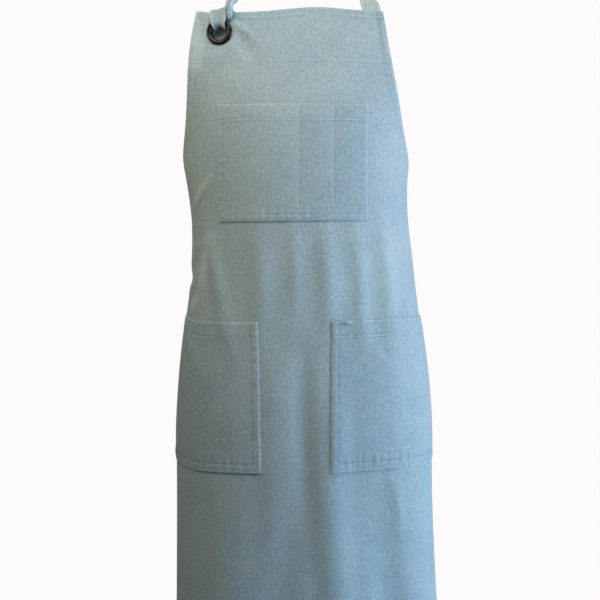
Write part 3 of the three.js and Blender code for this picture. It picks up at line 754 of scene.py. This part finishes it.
def strap_piece(name, ribbon):
    across = np.linspace(-0.5, 0.5, STRAP_COLUMNS) * STRAP_WIDTH
    row, side = np.meshgrid(np.arange(len(ribbon.along)), across, indexing="ij")
    near = STRAP_WIDTH / 2 - np.abs(side)
    # Edges rubbed pale; a darker line just inside each row of stitches is painted shade
    wear_light_and_shade = ribbon.wear_light_and_shade + 0.9 * bell(near, RUB_REACH) - 0.3 * bell(near - 0.0042, 0.0012)
    points = ribbon.points(row, -side)
    piece, *_ = sheet_piece(name, "strap_chambray", points, (side, ribbon.along[row]), wear_light_and_shade)
    thicken(piece, STRAP_WALL, offset=0.0, round_over=STRAP_ROUND)


def seam_stop(drop):
    return Stop(off_face(SEAM_ACROSS, drop, SEAM_OUT), normal_of(face, SEAM_ACROSS, drop))


def strap_knot_middle():
    return off_face(*STRAP_KNOT_AT[:3])


def neck_ribbon():
    knot, look, up = strap_knot_middle(), (0.05, -1.0, 0.0), STRAP_KNOT[2]
    stops = [*map(seam_stop, SEAM_DROPS), *NECK_PATH]
    stops.append(Stop(knot + (-0.0005, -0.001, up + 0.0026), look, 0.008))
    stops.append(Stop(knot + (0.0, 0.0, 0.4 * up), look, STRAP_KNOT_AT.width))
    return Ribbon(stops, 200, seed=41)


def with_neighbours(path):
    """Each stop between the ones before and after it."""
    return zip(path[:1] + path, path, path[1:] + path[-1:])


def edge_ribbon(path, steps, seed, depth):
    """A strap that runs down the cloth and over its edge, with its face square to its line."""
    stops = []
    for before, stop, after in with_neighbours(path):
        ahead = unit(np.array([after.out - before.out, before.drop - after.drop]))
        look = normal_of(face, stop.across, EYELET_DROP) * ahead[1] + (-stop.lean, 0.0, -ahead[0])
        stops.append(Stop(off_face(*stop[:3]), look, stop.width))
    return Ribbon(stops, steps, 0, seed, depth)


def waist_knot_middle():
    waist = section_at(TIE_DROP)
    y = AXIS_Y + waist.behind + waist.back + WAIST_KNOT_OUT
    return np.array([waist.drift, y, TOP_Z - TIE_DROP])


def bow_stops(path, side, hanging):
    middle = waist_knot_middle()
    stops = []
    for before, stop, after in with_neighbours(path):
        look = (after.away - before.away, side * (before.along - after.along), 0.0)
        if hanging:
            look = (0.0, 1.0, 0.0)
        stops.append(Stop(middle + (side * stop.along, stop.away, stop.up), look, stop.width))
    return stops


def waist_tie(name, side):
    waist = section_at(TIE_DROP)
    half_girth = arc_steps(waist, np.linspace(0, math.pi, 721)).sum()
    start = SKIRT_HALF - TIE_SEWN
    end = float(half_girth - side * waist.slide) - WAIST_KNOT[0] + 0.004
    along = np.linspace(start, end, 72)[::side]
    down = np.linspace(-0.5, 0.5, STRAP_COLUMNS) * STRAP_WIDTH
    across, drop = np.meshgrid(side * along, TIE_DROP + down)
    free = np.clip((np.abs(across) - SKIRT_HALF) / 0.05, 0, 1)
    out = -TIE_SEAT + 0.0006 * free * ripple(across + 0.8 * drop, 61 + side, 0.04)
    wear_light_and_shade = 0.9 * bell(STRAP_WIDTH / 2 - np.abs(drop - TIE_DROP), RUB_REACH)
    points = off_face(across, drop, out)
    piece, *_ = sheet_piece(name, "strap_chambray", points, (drop, across), wear_light_and_shade)
    thicken(piece, STRAP_WALL, round_over=STRAP_ROUND)


def wrapped_knot(name, size, middle, seed, upright):
    """A knot drawn tight: a rounded lump whose wraps of strap overlap in slanting folds."""
    half_x, half_y, half_z = size
    shape = bmesh.new()
    bmesh.ops.create_uvsphere(shape, u_segments=RING_STEPS, v_segments=KNOT_RINGS, radius=1.0)
    for vert in shape.verts:
        x, y, z = vert.co
        lengthwise, around = (z, math.atan2(y, x)) if upright else (x, math.atan2(z, y))
        wrap = math.sin(around + 2.6 * lengthwise + seed)
        pleat = math.sin(3 * around + 7 * lengthwise + 1.7 * seed)
        swell = 1 + 0.07 * (1 - lengthwise ** 4) * (wrap + pleat)
        vert.co = Vector((x * half_x, y * half_y, z * half_z)) * swell
    bmesh.ops.translate(shape, verts=shape.verts, vec=Vector(middle))
    mesh = to_mesh(shape, f"{name}_cloth")
    place = np.array([vert.co for vert in mesh.vertices]) - middle
    lay_flat(mesh, place[:, [0, 2] if upright else [2, 0]])
    mesh.attributes.new("wear_light_and_shade", "FLOAT", "POINT")
    add_piece(mesh, "strap_chambray", name)


# Stitches

def stitch_template():
    """One stitch: a short thread whose ends dip into the cloth, as rings of a tube."""
    sides = 5
    rings = np.array([(-0.5, -0.9), (-0.32, 0.35), (0.0, 0.55), (0.32, 0.35), (0.5, -0.9)])
    along, turn = np.meshgrid(rings[:, 0], math.tau * np.arange(sides) / sides, indexing="ij")
    up = 0.8 * np.cos(turn) + rings[:, 1:]
    points = np.stack([along * STITCH_LENGTH, THREAD_RADIUS * np.sin(turn), THREAD_RADIUS * up], -1)
    corner = np.arange(sides * (len(rings) - 1))
    beside = corner - corner % sides + (corner + 1) % sides
    return points.reshape(-1, 3), np.stack([corner, beside, beside + sides, corner + sides], -1)


STITCH_POINTS, STITCH_FACES = stitch_template()


def stitch_places(points, normals):
    """Middles, directions and normals of the stitches along one sewn line."""
    along = lengths_along(points)
    count = max(1, int(along[-1] / STITCH_PITCH))
    middles = (np.arange(count) + 0.5) * along[-1] / count
    read = lambda values, at: np.stack([np.interp(at, along, values[:, k]) for k in range(3)], -1)
    ahead = read(points, middles + STITCH_PROBE) - read(points, middles - STITCH_PROBE)
    return read(points, middles), ahead, read(normals, middles)


def sew(name, lines):
    """All the stitches of one piece as a joined mesh."""
    middles, ahead, out = (np.concatenate(part) for part in zip(*lines))
    ahead = unit(ahead)
    side = unit(np.cross(out, ahead))
    points = middles[:, None] + STITCH_POINTS @ np.stack([ahead, side, np.cross(ahead, side)], 1)
    offsets = np.arange(len(middles))[:, None, None] * len(STITCH_POINTS)
    faces = (STITCH_FACES + offsets).reshape(-1, 4)
    mesh = bpy.data.meshes.new(name)
    mesh.from_pydata(points.reshape(-1, 3).tolist(), [], faces.tolist())
    add_piece(mesh)


def sewn_line(surface, across, drop, outward=1.0):
    """Stitches along a line of the cut, on a surface that takes the cut to its place."""
    normals = outward * normal_of(surface, across, drop)
    return stitch_places(surface(across, drop), normals)


def straight(a, b):
    """Points of the cut from one to another, about a step apart."""
    count = max(2, int(math.hypot(b[0] - a[0], b[1] - a[1]) / STITCH_STEP))
    share = np.linspace(0, 1, count)
    return a[0] + (b[0] - a[0]) * share, a[1] + (b[1] - a[1]) * share


def panel_stitches():
    lines = []
    facing_half = float(half_cut(FACING_DEPTH)) - SEWN_MARGIN
    for half, drop in ((BIB_HALF_TOP - 0.004, TOP_STITCH), (facing_half, FACING_STITCH)):
        across = np.linspace(-half, half, 140)
        lines.append(sewn_line(panel_front, across, bowed(across, drop)))
    drops = np.linspace(FACING_DEPTH + 0.004, LENGTH - 0.002, 420)
    sides = half_cut(drops) - SIDE_STITCH
    outer, foot = SKIRT_HALF - SEWN_MARGIN, LENGTH - BOTTOM_STITCH
    runs = ((sides, drops), (-sides, drops), straight((-outer, foot), (outer, foot)))
    for surface, outward in ((panel_front, 1.0), (panel_back, -1.0)):
        lines += [sewn_line(surface, *run, outward) for run in runs]
    reach = STRAP_WIDTH / 2 - SEWN_MARGIN
    low, high = TIE_DROP - reach, TIE_DROP + reach
    for side in (-1, 1):
        start, end = side * (SKIRT_HALF - TIE_SEWN + SEWN_MARGIN), side * outer
        corners = [(start, low), (end, low), (end, high), (start, high), (start, low), (end, high)]
        lines += [sewn_line(panel_front, *straight(a, b)) for a, b in zip(corners, corners[1:])]
    sew("panel_stitches", lines)


def pocket_stitches(name, pocket):
    surface = lambda along, down: pocket_front(pocket, along, down)
    runs = []
    for line in (EDGE_STITCH, pocket.second_stitch):
        right, foot = pocket.width - line, pocket.depth - line / FOOT_SHARE
        corners = [(line, 0.001), (line, foot), (right, foot), (right, 0.001)]
        runs += zip(corners, corners[1:])
    runs.append(((0.002, MOUTH_STITCH), (pocket.width - 0.002, MOUTH_STITCH)))
    runs += [((seam, 0.001), (seam, pocket.depth - 0.001)) for seam in pocket.seams]
    sew(f"{name}_stitches", [sewn_line(surface, *straight(a, b)) for a, b in runs])


def strap_stitches(name, ribbon):
    """A row of stitches along each edge of a strap, on both faces."""
    lines = []
    count = max(20, int(ribbon.length / STITCH_STEP))
    alongs = np.linspace(SEWN_MARGIN, ribbon.length - SEWN_MARGIN, count)
    rows = np.interp(alongs, ribbon.along, np.arange(len(ribbon.along)))
    for side in (-1, 1):
        across = np.full(len(rows), side * (STRAP_WIDTH / 2 - STRAP_STITCH))
        middle = ribbon.points(rows, across)
        aside = ribbon.points(rows, across + STITCH_PROBE) - ribbon.points(rows, across - STITCH_PROBE)
        normal = unit(np.cross(np.gradient(middle, axis=0), aside))
        for way in (-1, 1):
            lines.append(stitch_places(middle + way * normal * STRAP_WALL / 2, way * normal))
    sew(f"{name}_stitches", lines)


# Eyelet

def turned_ring(node, profile):
    """A ring turned about the eyelet's axis from a closed profile of radius and height."""
    shape = bmesh.new()
    verts = [shape.verts.new((radius, 0.0, height)) for radius, height in profile]
    edges = [shape.edges.new((a, b)) for a, b in zip(verts, verts[1:] + verts[:1])]
    bmesh.ops.spin(shape, geom=verts + edges, cent=(0, 0, 0), axis=(0, 0, 1),
                   angle=math.tau, steps=RING_STEPS, use_merge=True)
    bmesh.ops.remove_doubles(shape, verts=shape.verts, dist=1e-6)
    bmesh.ops.recalc_face_normals(shape, faces=shape.faces)
    middle, out = eyelet_axis()
    place = Matrix.Translation(middle) @ out.to_track_quat("Z", "Y").to_matrix().to_4x4()
    bmesh.ops.transform(shape, matrix=place, verts=shape.verts)
    piece = add_piece(to_mesh(shape, f"{node}_metal"), "eyelet_metal", node)
    smooth = piece.modifiers.new("smooth", "SUBSURF")
    smooth.levels = smooth.render_levels = 2


def eyelet():
    from_seat = lambda seat, profile: [(radius / MM, seat + height / MM) for radius, height in profile]
    flange = from_seat(EYELET_SEAT, FLANGE_FRONT) + from_seat(EYELET_BEHIND, FLANGE_BACK)
    turned_ring("eyelet_flange", flange)
    turned_ring("eyelet_washer", from_seat(EYELET_BEHIND, WASHER))


# Finishes

class Wire:
    """A socket's value in a finish, with arithmetic that adds Math nodes."""

    def __init__(self, finish, socket):
        self.finish = finish
        self.socket = socket

    def maths(self, operation, first, second=0.0):
        return self.finish.node("Math", {"operation": operation}, {0: first, 1: second})

    def __add__(self, other):
        return self.maths("ADD", self, other)

    def __sub__(self, other):
        return self.maths("SUBTRACT", self, other)

    def __rsub__(self, other):
        return self.maths("SUBTRACT", other, self)

    def __mul__(self, other):
        return self.maths("MULTIPLY", self, other)

    __radd__ = __add__
    __rmul__ = __mul__

    def sine(self):
        return self.maths("SINE", self)


class Finish:
    """The nodes of a material or of the studio, added one by one."""

    def __init__(self, owner):
        owner.use_nodes = True
        self.owner = owner
        self.tree = owner.node_tree
        self.tree.nodes.clear()

    def node(self, kind, settings=None, inputs=None, output=0):
        made = self.tree.nodes.new(f"ShaderNode{kind}")
        for key, value in (settings or {}).items():
            setattr(made, key, value)
        for key, value in (inputs or {}).items():
            if isinstance(value, Wire):
                self.tree.links.new(value.socket, made.inputs[key])
            else:
                made.inputs[key].default_value = value
        return Wire(self, made.outputs[output]) if made.outputs else None

    def mix(self, factor, first, second):
        settings = {"data_type": "RGBA", "blend_type": "MIX", "clamp_factor": True}
        return self.node("Mix", settings, {0: factor, 6: first, 7: second}, 2)

    def place(self):
        return self.node("TexCoord", output="Object")

    def stretched(self, vector, scale):
        return self.node("VectorMath", {"operation": "MULTIPLY"}, {0: vector, 1: scale})

    def noise(self, vector, scale, detail=2.0, roughness=0.5):
        inputs = {"Vector": vector, "Scale": scale, "Detail": detail, "Roughness": roughness}
        return self.node("TexNoise", None, inputs)

    def between(self, value, low, high, start=0.0, end=1.0):
        inputs = {"Value": value, "From Min": low, "From Max": high, "To Min": start, "To Max": end}
        return self.node("MapRange", {"clamp": True}, inputs)

    def bump(self, strength, distance, height):
        return self.node("Bump", None, {"Strength": strength, "Distance": distance, "Height": height})

    def close(self, inputs):
        shader = self.node("BsdfPrincipled", None, inputs)
        self.node("OutputMaterial", None, {"Surface": shader})
        return self.owner


def new_finish(name):
    return Finish(bpy.data.materials.new(name))


def chambray(name, warp, weft):
    """Plain weave of a coloured warp and a pale weft, with slubs, flecks, rubbed edges, and painted light and
    shade from a per-point attribute.
    """
    cloth = new_finish(name)
    flat = cloth.node("UVMap", {"uv_map": "flat"})
    across = cloth.node("SeparateXYZ", None, {0: flat})
    down = Wire(cloth, across.socket.node.outputs[1])
    wobble = cloth.noise(flat, 260.0, 1.0) * 3.0
    pitch = math.pi / WEAVE_PITCH
    over = (across * pitch + wobble).sine() * (down * pitch + wobble).sine()
    warp_slub = cloth.noise(cloth.stretched(flat, (400.0, 60.0, 1.0)), 1.0, 3.0, 0.6)
    weft_slub = cloth.noise(cloth.stretched(flat, (95.0, 500.0, 1.0)), 1.0, 3.0, 0.6)
    heather = cloth.noise(cloth.stretched(flat, (310.0, 215.0, 1.0)), 1.0, 2.0, 0.6)
    flecks = cloth.between(cloth.noise(cloth.stretched(flat, (240.0, 700.0, 1.0)), 1.0, 1.0), 0.62, 0.74)
    cloudy = cloth.noise(flat, 17.0, 3.0, 0.55)
    # The attribute holds rubbed wear and painted light and shade: above zero the colour goes towards the pale
    # weft, below zero towards the warp
    wear_light_and_shade = cloth.node("Attribute", {"attribute_name": "wear_light_and_shade"}, None, 2)
    showing = (0.5 + over * 0.32 + (warp_slub - 0.5) * 0.48 - (weft_slub - 0.5) * 0.36
               + (heather - 0.5) * 0.76 + (cloudy - 0.5) * 0.28 - flecks * 0.16 - wear_light_and_shade * 0.20)
    colour = cloth.mix(cloth.between(showing, 0.0, 1.0), weft, warp)
    height = (over * 0.5 + (warp_slub - 0.5) * 1.1 + (weft_slub - 0.5) * 1.1 + (heather - 0.5) * 0.8)
    bump = cloth.bump(0.30, 0.00035, height)
    rough = cloth.between(heather, 0.2, 0.8, 0.82, 0.95)
    return cloth.close({
        "Base Color": colour, "Roughness": rough, "Normal": bump,
        "Sheen Weight": 0.18, "Sheen Roughness": 0.45, "Specular IOR Level": 0.25,
    })


def sewing_thread():
    thread = new_finish("sewing_thread")
    twist = thread.noise(thread.place(), 2600.0, 2.0)
    colour = thread.mix(twist, (0.46, 0.57, 0.63, 1), (0.68, 0.77, 0.81, 1))
    rough = thread.between(twist, 0.3, 0.7, 0.55, 0.75)
    return thread.close({"Base Color": colour, "Roughness": rough, "Normal": thread.bump(0.4, 0.0001, twist),
                         "Sheen Weight": 0.2, "Sheen Roughness": 0.4})


def gunmetal():
    metal = new_finish("gunmetal")
    place = metal.place()
    clouds = metal.noise(place, 160.0, 4.0, 0.6)
    scratches = metal.noise(metal.stretched(place, (900.0, 900.0, 4200.0)), 1.0, 2.0)
    colour = metal.mix(clouds, (0.020, 0.018, 0.017, 1), (0.050, 0.046, 0.043, 1))
    rough = metal.between(clouds + (scratches - 0.5) * 0.5, 0.3, 0.7, 0.10, 0.20)
    bump = metal.bump(0.08, 0.0002, scratches)
    return metal.close({"Base Color": colour, "Roughness": rough, "Normal": bump, "Metallic": 0.9,
                        "Specular IOR Level": 0.5})


def pale_floor():
    floor = new_finish("pale_floor")
    grain = floor.noise(floor.place(), 30.0, 4.0)
    colour = floor.mix(grain, (0.74, 0.73, 0.72, 1), (0.80, 0.79, 0.78, 1))
    return floor.close({"Base Color": colour, "Roughness": 0.8})


# Studio

def studio():
    scene = bpy.context.scene
    scene.view_settings.view_transform = "Standard"
    scene.view_settings.look = "None"
    scene.world = bpy.data.worlds.new("studio")
    air = Finish(scene.world)
    seen = air.node("Background", None, {"Color": (0.975, 0.955, 0.965, 1)})
    glow = air.node("Background", None, {"Color": (0.96, 0.98, 1.0, 1), "Strength": 0.006})
    looked_at = air.node("LightPath", output="Is Camera Ray")
    mixed = air.node("MixShader", None, {0: looked_at, 1: glow, 2: seen})
    air.node("OutputWorld", None, {"Surface": mixed})


def soft_light(name, place, aim, size, power, colour):
    lamp = bpy.data.lights.new(name, "AREA")
    lamp.shape = "RECTANGLE"
    lamp.size, lamp.size_y = size
    lamp.energy = power
    lamp.color = colour
    light = put(name, lamp)
    light.location = place
    light.rotation_euler = (Vector(aim) - Vector(place)).to_track_quat("-Z", "Y").to_euler()
    light.visible_camera = False


def camera():
    eye = bpy.data.cameras.new("camera")
    eye.sensor_width = SENSOR
    eye.lens = SENSOR / 2 / math.tan(FIELD / 2)
    eye.clip_start, eye.clip_end = 0.05, 50.0
    seat = put("camera", eye)
    level = math.cos(ELEVATION)
    back = Vector((math.sin(AZIMUTH) * level, -math.cos(AZIMUTH) * level, math.sin(ELEVATION)))
    seat.location = AIM + back * DISTANCE
    seat.rotation_euler = (-back).to_track_quat("-Z", "Y").to_euler()
    bpy.context.scene.camera = seat


def floor():
    slab = bmesh.new()
    bmesh.ops.create_grid(slab, x_segments=1, y_segments=1, size=FLOOR_SIDE / 2)
    bmesh.ops.translate(slab, verts=slab.verts, vec=(0, 0, FLOOR_Z))
    mesh = to_mesh(slab, "floor")
    mesh.materials.append(pale_floor())
    put("floor", mesh)


def straps():
    ribbons = {
        "neck_strap": neck_ribbon(),
        "strap_loop": edge_ribbon(LOOP_PATH, 90, 51, 0.6),
        "strap_tail": edge_ribbon(TAIL_PATH, 80, 52, 0.25),
    }
    for name, side in (("left", -1), ("right", 1)):
        ribbons[f"bow_loop_{name}"] = Ribbon(bow_stops(BOW_PATH, side, False), 100, 2, 70 + side)
        ribbons[f"tie_end_{name}"] = Ribbon(bow_stops(TIE_END_PATH, side, True), 90, 2, 80 + side)
        waist_tie(f"waist_tie_{name}", side)
    ribbons["strap_loop"].wear_light_and_shade = LOOP_SHADE
    for name, ribbon in ribbons.items():
        strap_piece(name, ribbon)
        strap_stitches(name, ribbon)
    wrapped_knot("strap_knot", STRAP_KNOT, strap_knot_middle(), 1, True)
    wrapped_knot("waist_knot", WAIST_KNOT, waist_knot_middle(), 2, False)


# Finishes by slot: the stitches have none
FINISHES = {
    "chambray": chambray("chambray", (0.150, 0.272, 0.395, 1), (0.540, 0.640, 0.690, 1)),
    "strap_chambray": chambray("strap_chambray", (0.170, 0.290, 0.405, 1), (0.590, 0.680, 0.715, 1)),
    None: sewing_thread(),
    "eyelet_metal": gunmetal(),
}


def main():
    camera()
    studio()
    for name, light in LIGHTS.items():
        soft_light(name, *light)
    floor()
    straps()
    panel()
    bib_facing()
    panel_stitches()
    for name, pocket in POCKETS.items():
        patch_pocket(name, pocket)
        pocket_stitches(name, pocket)
    eyelet()


main()
